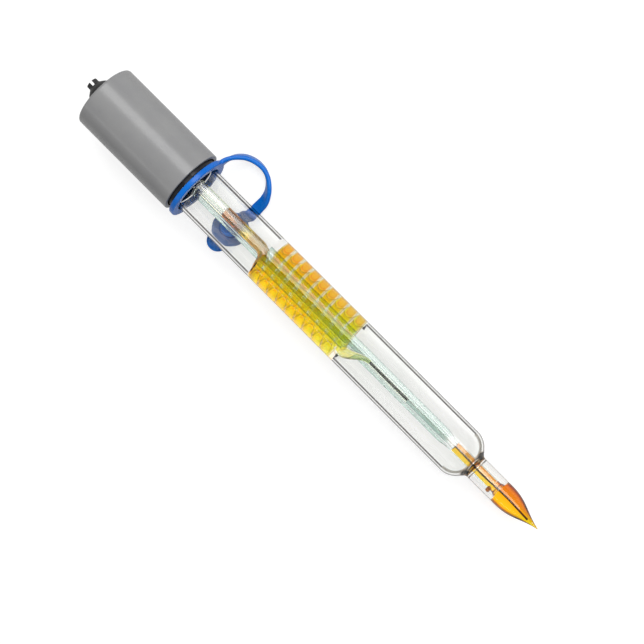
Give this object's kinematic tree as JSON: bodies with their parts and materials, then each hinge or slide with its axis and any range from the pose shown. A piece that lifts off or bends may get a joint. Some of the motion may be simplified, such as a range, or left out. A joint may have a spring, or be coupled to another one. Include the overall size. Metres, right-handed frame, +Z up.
{
  "type": "ph electrode",
  "caption": "Glass combination pH electrode with a spear tip, a coiled reference tube, a moulded cap and a strapped plug in its fill hole, lying down.",
  "frame": {"origin": "bottom centre of the lying electrode's bounding box, on the table", "axes": "+X along the electrode towards its cap, +Y to the plug's side away from the strap's loop, +Z up; the axis rises 1.5 degrees towards the cap"},
  "size_m": [0.1446, 0.0228, 0.0172],
  "materials": {
    "grey_plastic": "satin",
    "black_plastic": "satin",
    "blue_elastomer": "smooth",
    "clear_glass": "polished",
    "green_glass": "polished",
    "yellow_solution": "clear",
    "orange_solution": "clear",
    "platinum": "drawn",
    "tinned_copper": "tinned",
    "dark_fibre": "matt",
    "brown_ceramic": "matt",
    "grey_rubber": "matt",
    "amber_resin": "cast"
  },
  "bodies": {
    "electrode": {"cap_shell": "grey_plastic", "strain_relief": "black_plastic", "cap_insert": "black_plastic", "fill_cover": "blue_elastomer", "outer_tube": "clear_glass", "neck_tube": "clear_glass", "stem_tube": "green_glass", "spear_bulb": "clear_glass", "bulb_solution": "yellow_solution", "platinum_wire": "platinum", "reference_coil": "clear_glass", "reference_solution": "orange_solution", "inner_junction": "dark_fibre", "outer_junction": "brown_ceramic", "tube_stopper": "grey_rubber", "potting": "amber_resin", "reference_wire": "platinum", "signal_splice": "tinned_copper", "reference_splice": "tinned_copper"},
    "plug": {"fill_plug": "blue_elastomer"}
  },
  "joints": [
    {"name": "plug_pull", "type": "slide", "parent": "electrode", "child": "plug", "axis": [0.0204, 0.6277, -0.7782], "range_m": [0, 0.006]}
  ]
}
